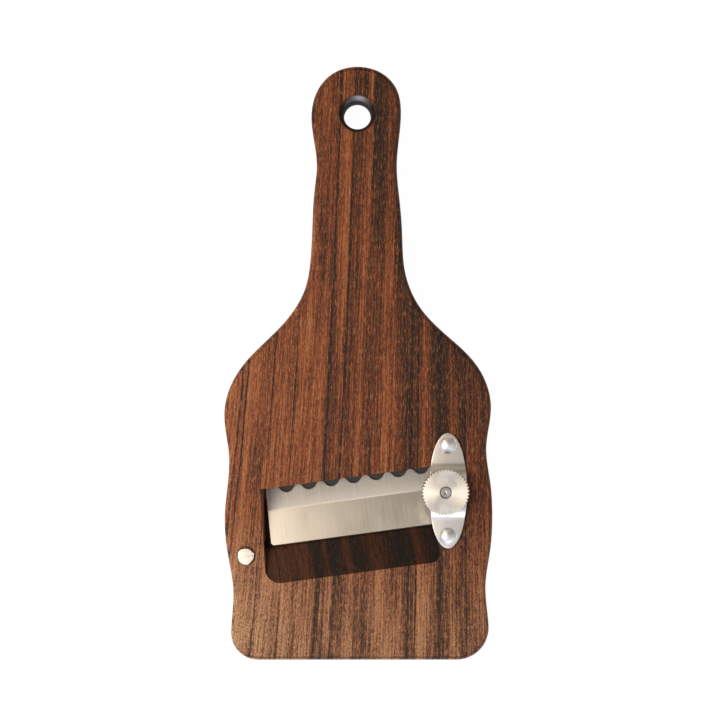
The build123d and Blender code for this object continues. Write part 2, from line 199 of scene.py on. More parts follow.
def add_node(tree, kind, inputs=(), **settings):
    """Add a shader node, set it up, and link or set its inputs, which come in order or by name.

    A node that is given as an input stands for its own first output in use.
    """
    node = tree.nodes.new("ShaderNode" + kind)
    for key, value in settings.items():
        setattr(node, key, value)
    for key, value in inputs.items() if isinstance(inputs, dict) else enumerate(inputs):
        if isinstance(value, bpy.types.Node):
            value = next(output for output in value.outputs if output.enabled)
        if isinstance(value, bpy.types.NodeSocket):
            tree.links.new(value, node.inputs[key])
        else:
            node.inputs[key].default_value = value
    return node


# Settings that many nodes share
TIMES = {"operation": "MULTIPLY"}
TIMES_PLUS = {"operation": "MULTIPLY_ADD"}
MINUS = {"operation": "SUBTRACT"}
COLOURS = {"data_type": "RGBA"}


def node_adder(owner):
    """Empty the node tree of a new material or world, and return what adds nodes to it."""
    owner.use_nodes = True
    owner.node_tree.nodes.clear()
    return functools.partial(add_node, owner.node_tree)


# Darkness of the plank across its face, as (place in mm, darkness from 0 to 1)
GRAIN_BANDS = [
    (-50, 0.34), (-44.2, 0.38), (-42.6, 0.50), (-39.5, 0.34), (-36, 0.50), (-32.5, 0.54), (-30, 0.42),
    (-26, 0.46), (-22, 0.42), (-18, 0.50), (-14.5, 0.38), (-12.6, 0.46), (-11.0, 0.78), (-8.6, 0.64),
    (-7.0, 0.40), (-5.2, 0.72), (-3.0, 0.66), (0.6, 0.38), (2.4, 0.70), (5.4, 0.74), (7.5, 0.54),
    (10.4, 0.44), (13.6, 0.60), (17.0, 0.72), (19.6, 0.84), (22.4, 0.66), (24.6, 0.42), (27.4, 0.70),
    (30.4, 0.92), (34.6, 0.66), (37.2, 0.82), (41.0, 0.70),
]

# The same in the handle, where the streaks lie closer together
HANDLE_BANDS = [
    (-50, 0.50), (-22, 0.52), (-17, 0.48), (-13, 0.54), (-12.2, 0.66), (-11.4, 0.66), (-10.6, 0.38),
    (-8, 0.34), (-5.6, 0.36), (-4.9, 0.76), (-3.0, 0.62), (-0.6, 0.68), (0.2, 0.42), (2.2, 0.42),
    (3.0, 0.68), (5.2, 0.76), (7.4, 0.68), (8.4, 0.48), (10.8, 0.48), (12, 0.58), (16, 0.62),
]
HANDLE_FROM, HANDLE_TO = 10 * MM, 45 * MM

# Darkness of plain wood between the bands
MEDIUM = 0.38

# Thin black lines in the plank, as (place in mm, strength), with half their width in mm
GRAIN_LINES = [
    (-43.5, 0.8), (-41.4, 0.9), (-31.6, 0.5), (-23.4, 0.5), (-11.3, 0.9), (-5.6, 1.0), (19.9, 1.0),
    (22.3, 0.8), (30.2, 0.7), (39.3, 0.7),
]
LINE_HALF_WIDTH = 0.40

# Width of the plank, in mm, that these tables cover
GRAIN_SPAN = 100.0

# Noise in the plank, as (width in streaks, length in mm, shift, detail, roughness, distortion), with
# the pores' width in pores. Grit and specks are drawn as coarse as they need to be to show.
STREAKS = (0.85, 80, 0.0, 3.0, 0.6, 0.0)
FINE_LINES = (0.36, 24, 7.0, 3.0, 0.65, 0.0)
PATCHES = (5.0, 30, 3.0, 2.0, 0.5, 0.0)
GRIT = (0.42, 1.25, 9.0, 4.0, 0.8, 0.7)
SPECKS = (0.40, 0.9, 13.0, 3.0, 0.8, 0.0)
WANDER = (9.0, 90, 0.0, 2.0, 0.5, 0.0)
TREMBLE = (3.0, 22, 11.0, 3.0, 0.6, 0.0)
BREAKS = (1.5, 12, 5.0, 3.0, 0.6, 0.0)
PORES = (1.0, 3.4, 3.0, 2.0, 0.7, 0.0)


def rosewood(settings):
    """Oiled rosewood, planed along the grain: long dark streaks, open pores and a soft sheen.

    The eye sees reddish brown bands with near black lines, short pale flecks where pores catch the
    light, and much darker wood wherever a cut crosses the grain, as on the ramp of the pocket: darker end
    grain, and painted shade.
    """
    material = bpy.data.materials.new("oiled_rosewood")
    add = node_adder(material)
    coordinates = add("TexCoord").outputs
    place = add("SeparateXYZ", [coordinates["Object"]]).outputs
    normal = add("SeparateXYZ", [coordinates["Normal"]]).outputs

    # The grain lines fan out a little towards the handle and lean with depth, as in a tree's rings.
    fan = add("Math", (place["X"], -1.2, 0.040), **TIMES_PLUS)
    along = add("Math", (place["Y"], 11.6 * MM))
    straight = add("Math", (place["X"], add("Math", (fan, along), **TIMES)), **MINUS)
    depth = add("Math", (face_level, place["Z"]), **MINUS)
    across = add("Math", (depth, 0.65, straight), **TIMES_PLUS)

    def grain_noise(pattern, unit=settings.streak):
        """Noise from 0 to 1, whose cells lie along the grain."""
        width, length, shift, detail, roughness, distortion = pattern
        width = width * unit
        parts = (
            add("Math", (across, 1 / width, shift), **TIMES_PLUS),
            add("Math", (place["Y"], 1 / (length * MM)), **TIMES),
            add("Math", (place["Z"], 0.3 / width), **TIMES),
        )
        inputs = {"Vector": add("CombineXYZ", parts), "Scale": 1.0, "Detail": detail}
        inputs |= {"Roughness": roughness, "Distortion": distortion}
        return add("TexNoise", inputs)

    def across_plank(stops, shift):
        """Value across the plank, read from places in mm and values, where the plank wanders."""
        shifted = add("Math", (across, shift))
        ramp = add("ValToRGB", [add("Math", (shifted, 1 / (GRAIN_SPAN * MM), 0.5), **TIMES_PLUS)])
        elements = ramp.color_ramp.elements
        elements.remove(elements[1])
        for index, (where, value) in enumerate(stops):
            stop = elements[0] if index == 0 else elements.new(where / GRAIN_SPAN + 0.5)
            stop.position = where / GRAIN_SPAN + 0.5
            stop.color = (value, value, value, 1)
        return ramp

    wander, tremble, streaks, fine, patches, grit = (
        add("Math", (grain_noise(pattern), -0.5))
        for pattern in (WANDER, TREMBLE, STREAKS, FINE_LINES, PATCHES, GRIT)
    )
    wavering = add("Math", (wander, 1.8 * MM), **TIMES)
    in_handle = add("MapRange", (place["Y"], HANDLE_FROM, HANDLE_TO))
    bands, handle_bands = (across_plank(stops, wavering) for stops in (GRAIN_BANDS, HANDLE_BANDS))
    bands = add("Mix", {0: in_handle, 2: bands, 3: handle_bands})
    sides = ((-LINE_HALF_WIDTH, 0), (0, 1), (LINE_HALF_WIDTH, 0))
    stops = [(where + side, value * strength) for where, strength in GRAIN_LINES for side, value in sides]
    shift = add("Math", (tremble, 1.3 * MM, add("Math", (wander, 1.0 * MM), **TIMES)), **TIMES_PLUS)
    broken = add("MapRange", (grain_noise(BREAKS), 0.36, 0.52, 0.45, 1.0))
    lines = add("Math", (across_plank(stops, shift), broken), **TIMES)

    # Where a cut crosses the grain, the bands stand out more and the grit less.
    # Mask of end grain and painted shade: faces that look along the grain, on the ramp and the walls.
    facing = add("MapRange", (add("Math", [normal["Y"]], operation="ABSOLUTE"), 0.12, 0.34))
    on_slope = add("MapRange", (normal["Z"], 0.90, 0.93))
    on_wall = add("MapRange", (normal["Z"], 0.30, 0.10, 0.0, 0.5))
    end_grain_and_shade = add("Math", (facing, add("Math", (on_slope, on_wall))), **TIMES)
    contrast = add("Math", (end_grain_and_shade, 0.9, 1.0), **TIMES_PLUS)
    bands = add("Math", (add("Math", (bands, -MEDIUM)), contrast, MEDIUM), **TIMES_PLUS)
    grit_weight = add("Math", (end_grain_and_shade, -1.4, 1.95), **TIMES_PLUS)

    # The wood is painted darker towards the handle, as shade. The plank's right side is painted paler in
    # its lower part and darker in its upper, as light and shade.
    handle_shade = add("MapRange", (place["Y"], -60 * MM, 100 * MM, 0.0, 0.13))
    right_side_light_and_shade = add("MapRange", (place["X"], 2 * MM, 14 * MM, 0.0, 0.10))
    right_side_light_and_shade_weight = add("MapRange", (place["Y"], -100 * MM, 100 * MM, -1.3, 1.9))
    darkness = bands
    for part, weight in (
        (streaks, 1.1),
        (fine, 1.5),
        (patches, 0.40),
        (grit, grit_weight),
        (lines, 1.05),
        (handle_shade, 1.0),
        (right_side_light_and_shade, right_side_light_and_shade_weight),
    ):
        darkness = add("Math", (part, weight, darkness), **TIMES_PLUS)
    tint = add("ValToRGB", [darkness])
    tints = tint.color_ramp.elements
    tints[0].position, tints[0].color = 0.05, settings.light
    tints[1].position, tints[1].color = 1.0, settings.dark
    tints.new(0.50).color = settings.middle
    tints.new(0.74).color = settings.deep

    pores = grain_noise(PORES, settings.pore)
    open_pores = add("MapRange", (pores, 0.56, 0.70))
    flecks = add("MapRange", (pores, 0.30, 0.44, 1.0, 0.0))

    # Below the pocket the wood is painted paler in specks, most at the left: partly specks where the oil is
    # worn off, partly painted sheen where the light falls.
    worn = 1.0
    for limits in (
        (place["Y"], -54 * MM, -100 * MM, 0.0, 0.36),
        (place["X"], -15 * MM, -42 * MM, 0.95, 1.5),
        (darkness, 0.30, 0.75, 1.0, 0.10),
        (grain_noise(SPECKS), 0.42, 0.62, 0.30, 2.0),
    ):
        worn = add("Math", (add("MapRange", limits), worn), **TIMES)

    # The hole's round rim is dark and polished, and its upper lip is painted with a pale grey highlight.
    hole = (settings.hole_across, settings.hole_along, 0)
    from_hole = add("VectorMath", (coordinates["Object"], hole), **MINUS)
    radius = add("VectorMath", [add("VectorMath", (from_hole, (1, 1, 0)), **TIMES)], operation="LENGTH")
    rim = add("MapRange", (radius, settings.hole_rim, settings.hole_rim - 0.8 * MM))
    throat = settings.throat_radius
    lip = add("MapRange", (radius, throat + 0.10 * MM, throat + 0.70 * MM))
    lip = add("Math", (add("MapRange", (normal["Y"], -0.40, -0.90)), lip), **TIMES)
    highlighted = add("Math", (rim, lip), **TIMES)
    aside = add("Math", [add("Math", (normal["X"], 0.12))], operation="ABSOLUTE")
    shine = add("MapRange", (aside, 0.10, 0.45, 0.8, 0.0))

    colour = tint
    for share, strength, layer, way in (
        (open_pores, 0.66, settings.pore_colour, "MIX"),
        (flecks, 0.50, settings.fleck, "MIX"),
        (worn, 1.0, settings.pale_specks_and_sheen, "MIX"),
        (end_grain_and_shade, 1.0, settings.cut_grain_and_shade, "MULTIPLY"),
        (rim, 0.9, settings.rim_colour, "MIX"),
        (highlighted, 0.8, settings.highlighted, "MIX"),
        (highlighted, shine, settings.shine, "MIX"),
    ):
        share = add("Math", (share, strength), **TIMES)
        colour = add("Mix", {0: share, 6: colour, 7: layer}, blend_type=way, **COLOURS)

    height = add("Math", (add("Math", (fine, 0.6), **TIMES), open_pores), **MINUS)
    polish = add("Math", (highlighted, -0.54, add("Math", (rim, 0.30), **TIMES)), **TIMES_PLUS)
    shader = {
        "Base Color": colour,
        "Roughness": add("Math", (open_pores, 0.2, add("Math", (polish, 0.46))), **TIMES_PLUS),
        "Normal": add("Bump", {"Height": height, "Distance": 0.06 * MM, "Strength": 0.6}),
        "IOR": 1.5,
        "Specular IOR Level": 0.22,
    }
    add("OutputMaterial", [add("BsdfPrincipled", shader)])
    return material


# Oil and dust that darken the finest lines of a ground metal, and painted shade where another piece stands
# close
GRIME_AND_SHADE = "1A1512"

# Clouds in a metal's gloss, as waves in a metre: 11 mm apart on ground metal and 4 mm on turned metal
GROUND_CLOUDS, TURNED_CLOUDS = 90.0, 260.0

# How many times longer than wide the lines of a ground metal are
LINE_RATIO = 30


def ground_metal(name, colour, roughness, line_width, direction, zone=None, crevice=0.0):
    """Metal ground or brushed in one direction: fine parallel lines vary its roughness and height.

    The eye sees a soft sheen with a faint grain, whose lines are drawn wide enough to show. A zone
    past a line across the blade may be coarser, and shade is painted on the metal where another piece
    stands closer than the crevice's width.
    """
    material = bpy.data.materials.new(name)
    add = node_adder(material)
    place = add("TexCoord").outputs["Object"]
    turned_place = add("Mapping", {"Vector": place, "Rotation": (0, 0, -direction)})
    stretch = (1 / (LINE_RATIO * line_width), 1 / line_width, 1)
    stretched = add("Mapping", {"Vector": turned_place, "Scale": stretch})
    lines = add("TexNoise", {"Vector": stretched, "Scale": 1.0, "Detail": 3.0})
    cloud = add("TexNoise", {"Vector": place, "Scale": GROUND_CLOUDS, "Detail": 3.0})
    rough = roughness - 0.14
    if zone:
        across = add("VectorMath", (place, tuple(tilt_axis)), operation="DOT_PRODUCT")
        share = add("MapRange", (across, zone["start"] - 0.3 * MM, zone["start"] + 0.3 * MM))
        rough = add("Math", (share, zone["roughness"] - roughness, rough), **TIMES_PLUS)
        colour = add("Mix", {0: share, 6: colour, 7: zone["colour"]}, **COLOURS)
    for pattern, weight in ((lines, 0.16), (cloud, 0.12)):
        rough = add("Math", (pattern, weight, rough), **TIMES_PLUS)

    # Grime in the finest lines, and painted shade where another piece stands close
    grime_and_shade = [add("MapRange", (lines, 0.3, 0.7, 0.10, 0.0))]
    if crevice:
        nearby = add("AmbientOcclusion", {"Distance": crevice}).outputs["AO"]
        grime_and_shade.append(add("MapRange", (nearby, 0.45, 0.85, 0.60, 0.0)))
    for share in grime_and_shade:
        colour = add("Mix", {0: share, 6: colour, 7: hex_colour(GRIME_AND_SHADE)}, **COLOURS)
    bump = add("Bump", {"Height": lines, "Distance": 0.004 * MM, "Strength": 0.5})
    shader = {"Base Color": colour, "Metallic": 1.0, "Roughness": rough, "Normal": bump}
    add("OutputMaterial", [add("BsdfPrincipled", shader)])
    return material


def turned_metal(name, colour, roughness, centre=None, ring_width=0.0, anisotropy=0.0, ring_depth=0.004 * MM):
    """Metal turned on a lathe: fine rings round its own axis, which spread its shine into wedges.

    The eye sees a bright disc with faint smudges, and rings that are drawn wide enough to show. A
    polished piece is given no rings.
    """
    material = bpy.data.materials.new(name)
    add = node_adder(material)
    place = add("TexCoord").outputs["Object"]
    cloud = add("TexNoise", {"Vector": place, "Scale": TURNED_CLOUDS, "Detail": 3.0})
    dull = [0.80 * value for value in tuple(colour)[:3]] + [1.0]
    smudge = add("MapRange", (cloud, 0.42, 0.62))
    shader = {
        "Base Color": add("Mix", {0: smudge, 6: colour, 7: dull}, **COLOURS),
        "Metallic": 1.0,
        "Roughness": add("Math", (cloud, 0.16, roughness - 0.08), **TIMES_PLUS),
    }
    if ring_width:
        own = add("VectorMath", (place, (centre.x, centre.y, 0)), **MINUS)
        flat = add("VectorMath", (own, (1, 1, 0)), **TIMES)
        radius = add("VectorMath", [flat], operation="LENGTH")
        reach = add("Math", (radius, 1 / ring_width), **TIMES)
        rings = add("TexNoise", {"W": reach, "Scale": 1.0, "Detail": 2.0}, noise_dimensions="1D")
        shader["Normal"] = add("Bump", {"Height": rings, "Distance": ring_depth, "Strength": 0.6})
        if anisotropy:
            world = {"convert_from": "OBJECT", "convert_to": "WORLD", "vector_type": "VECTOR"}
            shader["Tangent"] = add("VectorTransform", [flat], **world)
            shader["Anisotropic"] = anisotropy
    add("OutputMaterial", [add("BsdfPrincipled", shader)])
    return material


def new_object(name, data):
    """New object with this mesh, light or camera, linked to the scene."""
    obj = bpy.data.objects.new(name, data)
    bpy.context.scene.collection.objects.link(obj)
    return obj


# Edges that turn by more than this stay sharp in the shading.
SHARP = math.radians(34)
SHARP_BOARD = math.radians(19)
SHARP_BLADE = math.radians(6)


def grid_faces(rows, columns, close_rows, close_columns):
    """Quads between neighbouring points of a grid, whose rows or columns may close on themselves."""
    index = np.arange(rows * columns).reshape(rows, columns)
    if close_rows:
        index = np.vstack([index, index[:1]])
    if close_columns:
        index = np.hstack([index, index[:, :1]])
    quads = [index[:-1, :-1], index[1:, :-1], index[1:, 1:], index[:-1, 1:]]
    return np.stack(quads, axis=-1).reshape(-1, 4)


def surface(name, points, close_rows=True, close_columns=True, sharp=SHARP):
    """Closed mesh from a grid of points: doubles are merged, and the faces turned outwards."""
    rows, columns = points.shape[:2]
    mesh = bpy.data.meshes.new(name)
    faces = grid_faces(rows, columns, close_rows, close_columns)
    mesh.from_pydata(points.reshape(-1, 3).tolist(), [], faces.tolist())
    tidy(mesh, sharp)
    return new_object(name, mesh)


def capped(rings):
    """Rings along a solid bar, each end closed by a ring that is shrunk to the end ring's middle."""
    middles = np.broadcast_to(rings.mean(axis=1, keepdims=True), rings.shape)
    return np.concatenate([middles[:1], rings, middles[-1:]])


def plate(name, lower, upper, sharp=SHARP):
    """Closed plate between two grids of points, its ends drawn together halfway between the two."""
    halfway = (lower + upper) / 2
    rings, ends = (np.hstack([under, over[:, ::-1]]) for under, over in ((lower, upper), (halfway, halfway)))
    return surface(name, np.concatenate([ends[:1], rings, ends[-1:]]), close_rows=False, sharp=sharp)


def tidy(mesh, sharp):
    """Merge a mesh's doubles, drop faces without area, turn the rest outwards and smooth its shading."""
    same = 0.0005 * MM
    work = bmesh.new()
    work.from_mesh(mesh)
    bmesh.ops.remove_doubles(work, verts=work.verts, dist=same)
    bmesh.ops.dissolve_degenerate(work, edges=work.edges, dist=same)
    bmesh.ops.recalc_face_normals(work, faces=work.faces)
    work.to_mesh(mesh)
    work.free()
    mesh.shade_smooth()
    mesh.set_sharp_from_angle(angle=sharp)


def bake_modifiers(obj, sharp=SHARP):
    """Make a piece's modifiers part of its mesh."""
    graph = bpy.context.evaluated_depsgraph_get()
    mesh = bpy.data.meshes.new_from_object(obj.evaluated_get(graph))
    obj.modifiers.clear()
    obj.data = mesh
    tidy(mesh, sharp)


def cut(obj, cutter, sharp=SHARP):
    """Cut one closed mesh with another, and remove the second."""
    modifier = obj.modifiers.new("cut", "BOOLEAN")
    modifier.operation = "DIFFERENCE"
    modifier.solver = "EXACT"
    modifier.object = cutter
    bake_modifiers(obj, sharp)
    bpy.data.objects.remove(cutter)


def cut_hole(obj, place, radius, sharp=SHARP):
    """Cut an upright round hole right through a piece."""
    profile = np.array([(0, -MM), (radius, -MM), (radius, 2 * face_level), (0, 2 * face_level)])
    cut(obj, turned("hole", profile, place, 64), sharp)


def eased(points, radius, steps=5, closed=False):
    """Outline with round corners: each corner becomes a quadratic curve that starts and ends at the
    given distance from it, or nearly halfway along a shorter side. Points are rows of a 2-D array."""
    points = np.asarray(points, float)
    before = np.roll(points, 1, axis=0) - points
    after = np.roll(points, -1, axis=0) - points

    def leg(vector):
        length = np.linalg.norm(vector, axis=1, keepdims=True)
        return vector * np.minimum(radius / np.maximum(length, 1e-9), 0.45)

    t = np.linspace(0, 1, steps)[None, :, None]
    start, corner, end = ((points + v)[:, None] for v in (leg(before), 0, leg(after)))
    curve = (1 - t) ** 2 * start + 2 * t * (1 - t) * corner + t**2 * end
    if not closed:
        curve[0], curve[-1] = points[0], points[-1]
    return curve.reshape(-1, 2)


def turned(name, profile, centre, count=96, groove=None, closed=False):
    """Surface of revolution: each profile point, as radius and height, is carried round an upright
    axis. A groove function of angle, radius and height may lower the radius."""
    angle = np.linspace(0, TURN, count, endpoint=False)[:, None]
    radius, height = (np.broadcast_to(profile[:, i], (count, len(profile))) for i in (0, 1))
    if groove:
        radius, height = groove(angle, radius, height)
    x, y = centre.x + radius * np.cos(angle), centre.y + radius * np.sin(angle)
    return surface(name, np.stack([x, y, height + 0 * angle], axis=-1), close_columns=closed)


def place_piece(obj, body, material, node):
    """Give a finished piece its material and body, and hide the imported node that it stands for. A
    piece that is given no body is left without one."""
    obj.data.materials.clear()
    obj.data.materials.append(material)
    if body:
        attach(obj, body)
    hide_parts(node)


class SLICER_OT_board(bpy.types.Operator):
    """Finish the wooden board"""

    bl_idname = "slicer.board"
    bl_label = "Board"

    def execute(self, context):
        s = context.scene.slicer_wood

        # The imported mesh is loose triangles, so a copy of it is merged and its flat faces made whole.
        mesh = frame["nodes"]["board"].data.copy()
        work = bmesh.new()
        work.from_mesh(mesh)
        bmesh.ops.remove_doubles(work, verts=work.verts, dist=0.002 * MM)
        bmesh.ops.dissolve_limit(work, angle_limit=math.radians(0.6), verts=work.verts, edges=work.edges)
        work.to_mesh(mesh)
        work.free()
        board = new_object("rosewood_board", mesh)

        soften = board.modifiers.new("worn_edges", "BEVEL")
        soften.width = s.worn_edge
        soften.segments = 2
        soften.limit_method = "ANGLE"
        soften.angle_limit = math.radians(45)
        bake_modifiers(board, SHARP_BOARD)

        # The hanging hole is worn wider towards the top, along a quarter of an ellipse.
        hole = Vector((s.hole_across, s.hole_along, 0))
        rise = np.sin(np.linspace(0, 0.97 * math.pi / 2, 17))
        flare = s.throat_radius + s.flare * (1 - np.sqrt(1 - rise**2))
        wall = np.stack([flare, s.throat + (face_level - s.throat) * rise], axis=1)
        top, bottom = face_level + MM, s.throat - 3 * MM
        above = [(wall[-1, 0] + 1.2 * MM, top), (0, top)]
        below = [(0, bottom), (s.throat_radius - 0.1 * MM, bottom)]
        cut(board, turned("flare", np.concatenate([below, wall, above]), hole, 128), SHARP_BOARD)
        flat = board.modifiers.new("flat_faces", "WEIGHTED_NORMAL")
        flat.keep_sharp = True
        place_piece(board, "root", rosewood(s), "board")
        return {"FINISHED"}


def wave_gap(place, settings):
    """How far the edge stands back from the line of the tips. Hollows and tips are arcs of circles
    that meet in one tangent: the tips' radius is four tenths of the two radii's sum."""
    half, depth = settings.pitch / 2, settings.hollow
    both = (half**2 + depth**2) / (2 * depth)
    tip, hollow = 0.4 * both, 0.6 * both
    phase = np.abs((place - settings.first + half) % settings.pitch - half)
    join = half - tip * half / both
    in_hollow = depth - hollow + np.sqrt(np.maximum(hollow**2 - phase**2, 0))
    at_tip = tip - np.sqrt(np.maximum(tip**2 - (half - phase) ** 2, 0))
    gap = np.where(phase < join, in_hollow, at_tip)
    return np.where(place > settings.first - half, gap, 0)


class SLICER_OT_blade(bpy.types.Operator):
    """Make the blade with its bevelled wavy edge, tail and tang"""

    bl_idname = "slicer.blade"
    bl_label = "Blade"

    def execute(self, context):
        s = context.scene.slicer_blade
        stud = middle("blade_stud")
        screw = middle("tang_screw")
        towards = np.array(tilt_axis)
        right = np.array((tilt_axis.y, -tilt_axis.x, 0))
        up = np.array((0, 0, 1.0))
        cosine, sine = math.cos(s.angle), math.sin(s.angle)
        down_slope = towards * cosine - up * sine
        off_slope = towards * sine + up * cosine
        spine_along = s.tip_from_stud - s.width * cosine
        spine_height = s.tip_height + s.width * sine
        origin = np.array((stud.x, stud.y, 0)) + towards * spine_along + up * spine_height - right * s.left
        length = s.left + s.right
        corner, tail_corner, lip, stud_hole = 1.2 * MM, 2.0 * MM, 0.35 * MM, 1.52 * MM
        spacing, run_out = 0.15 * MM, 0.4 * MM
        tail = s.first + (s.waves - 0.5) * s.pitch

        # Stations along the blade, closer together where its ends are round
        quarter = np.linspace(0, math.pi / 2, 9)
        places = np.concatenate(
            [
                corner * (1 - np.cos(quarter)),
                np.arange(corner, length - tail_corner, spacing)[1:],
                length - tail_corner * (1 - np.sin(quarter)),
            ]
        )[:, None]
        left_round = corner - np.sqrt(np.maximum(corner**2 - np.maximum(corner - places, 0) ** 2, 0))
        past = np.maximum(places - (length - tail_corner), 0)
        right_round = tail_corner - np.sqrt(np.maximum(tail_corner**2 - past**2, 0))
        low = left_round + right_round
        drop = s.step * np.clip((places - tail) / (s.step / 2), 0, 1)
        high = s.width - np.where(places < tail, wave_gap(places, s), drop) - right_round

        # Rows across it: flat face, bevel, and the narrow lip that follows the waves
        bevel_start = s.width - s.bevel
        flat_rows = low + np.linspace(0, 1, 5) * (bevel_start - low)
        bevel_rows = bevel_start + np.linspace(0, 1, 9)[1:] * (high - lip - bevel_start)
        lip_rows = high - lip * np.array([[0.5, 0.0]])
        across = np.hstack([flat_rows, bevel_rows, lip_rows])
        ground = 1 - np.clip((places - tail - s.step / 2) / run_out + 1, 0, 1)
        loss = (s.thickness - s.edge) / s.bevel * ground
        thick = s.thickness - np.maximum(across - bevel_start, 0) * loss
        at_lip = np.clip((across - high + lip) / lip, 0, 1) * ground
        thick = thick + (s.edge - thick) * at_lip
        base = origin + places[..., None] * right + across[..., None] * down_slope
        blade = plate("ground_blade", base, base + thick[..., None] * off_slope, SHARP_BLADE)
        cut_hole(blade, stud, stud_hole, SHARP_BLADE)
        tips = float(origin @ towards) + s.width * cosine
        zone = {"start": tips - s.bevel * cosine, "colour": s.bevel_colour, "roughness": 0.78}
        finish = {"roughness": 0.32, "line_width": 0.42 * MM, "direction": math.pi / 2 + skew}
        steel = ground_metal("ground_stainless_steel", s.colour, **finish, zone=zone)
        place_piece(blade, "blade_unit", steel, "blade")

        # Tang: a flat bar that runs from a round eye at the screw to the spine's corner. Its half
        # width is the eye's circle up to where that meets the neck, and then the neck's.
        eye, neck, inside, screw_hole = 3.0 * MM, 1.5 * MM, 5.0 * MM, 1.6 * MM
        sink, skin, least = 0.55 * MM, 0.05 * MM, 0.02 * MM
        axis_foot = np.array((screw.x, screw.y, 0))
        reach = origin - axis_foot
        root_right = float(reach @ right)
        root_towards = float(reach @ towards) + neck
        round_end = -eye * np.cos(np.linspace(0, math.pi - math.asin(neck / eye), 25))
        stations = np.concatenate([round_end, [root_right, root_right + inside]])
        half = np.sqrt(np.maximum(eye**2 - stations**2, least**2))
        half = np.where(stations < eye * 0.8, half, neck)
        lean = np.clip(stations / root_right, 0, 1) * root_towards
        side = np.stack([lean - half, lean + half], axis=1)
        tang_low = spine_height - sink
        plate_top = spine_height + s.thickness / cosine - (side - root_towards + neck) * sine / cosine
        tang_top = np.minimum(tang_low + s.thickness, plate_top - skin)
        plan = axis_foot + stations[:, None, None] * right + side[..., None] * towards
        tang = plate("tang", plan + tang_low * up, plan + tang_top[..., None] * up)
        cut_hole(tang, screw, screw_hole)
        # The tang is painted near black, as the shade in the gap where it shows.
        scale = ground_metal("rolled_steel_painted_as_shade", s.tang_shade_colour, 0.70, 0.5 * MM, 0.0)
        place_piece(tang, "blade_unit", scale, "blade")
        return {"FINISHED"}


class SLICER_OT_bridge(bpy.types.Operator):
    """Make the bent bridge with its lens-shaped outline and its rivets"""

    bl_idname = "slicer.bridge"
    bl_label = "Bridge and rivets"

    def execute(self, context):
        s = context.scene.slicer_fittings
        low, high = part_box("bridge")
        centre = (low + high) / 2
        half_length, half_width = (high.y - low.y) / 2, (high.x - low.x) / 2
        rise = high.z - low.z - s.strip

        # The strip's middle line is level, climbs beside the raised flat, and is level again. Its
        # height is the running sum of a slope that swells and fades over each bend.
        along = np.sin(np.linspace(-math.pi / 2, math.pi / 2, 241)) * half_length
        bends = np.array((s.flat / 2, s.flat / 2 + s.slope))[:, None]
        swell = np.tanh((np.abs(along) - bends) / s.bend)
        slope = -np.sign(along) * (swell[0] - swell[1])
        shape = np.cumsum(slope * np.diff(along, prepend=along[0]))
        shape = (shape - shape[0]) / (shape.max() - shape[0])
        height = low.z + s.strip / 2 + rise * shape
        lean = np.arctan(np.gradient(height, along))[:, None]

        # The outline's half width follows (width / half width)^2 + (length / half length)^2.4 = 1, and
        # the section is a rectangle with round corners, stood upright to the middle line.
        half = half_width * np.sqrt(np.maximum(1 - np.abs(along / half_length) ** 2.4, 0))
        half = np.maximum(half, 0.1 * MM)[:, None]
        edge = np.minimum(s.strip_edge, half * 0.9)
        corner = np.repeat(np.arange(4), 5) * math.pi / 2 + math.pi / 4
        turn = corner + np.tile(np.linspace(-1, 1, 5), 4) * math.pi / 4
        across = np.sign(np.cos(corner)) * (half - edge) + edge * np.cos(turn)
        upward = np.sign(np.sin(corner)) * (s.strip / 2 - edge) + edge * np.sin(turn)
        ring = [
            centre.x + across,
            centre.y + along[:, None] - upward * np.sin(lean),
            height[:, None] + upward * np.cos(lean),
        ]
        bridge = surface("bent_bridge", capped(np.stack(ring, axis=-1)), close_rows=False)
        rivets = ("upper_bridge_rivet", "lower_bridge_rivet")
        stud_hole, rivet_hole = 2.4 * MM, 1.32 * MM
        cut_hole(bridge, middle("blade_stud"), stud_hole)
        for node in rivets:
            cut_hole(bridge, middle(node), rivet_hole)
        finish = {"roughness": 0.36, "line_width": 0.3 * MM, "direction": math.pi / 2}
        # The strip is painted darker, as shade, where the nut and rivets stand close.
        strip = ground_metal("satin_stainless_strip", s.bridge_colour, **finish, crevice=2.5 * MM)
        place_piece(bridge, "root", strip, "bridge")

        # Each rivet's head is a ball's cap, whose radius follows from its width and height, over a
        # short lip and a plain shank.
        chrome = turned_metal("polished_steel", s.rivet_colour, 0.42)
        seat, shank = face_level + s.strip, 1.3 * MM
        for node in rivets:
            low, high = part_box(node)
            radius, dome = (high.x - low.x) / 2, high.z - seat
            ball = (radius**2 + dome**2) / (2 * dome)
            spread = np.linspace(0, math.asin(radius / ball) * 0.94, 17)
            cap = np.stack([ball * np.sin(spread), high.z - ball + ball * np.cos(spread)], axis=1)
            lip = [(radius * 0.992, seat + 0.20 * MM), (radius, seat + 0.10 * MM), (radius * 0.99, seat)]
            under = [(shank, seat), (shank, low.z + 0.5 * MM), (shank * 0.6, low.z), (0, low.z)]
            profile = np.concatenate([cap, lip, under])
            rivet = turned(node + "_head", profile, (low + high) / 2, 72)
            place_piece(rivet, "root", chrome, node)
        return {"FINISHED"}


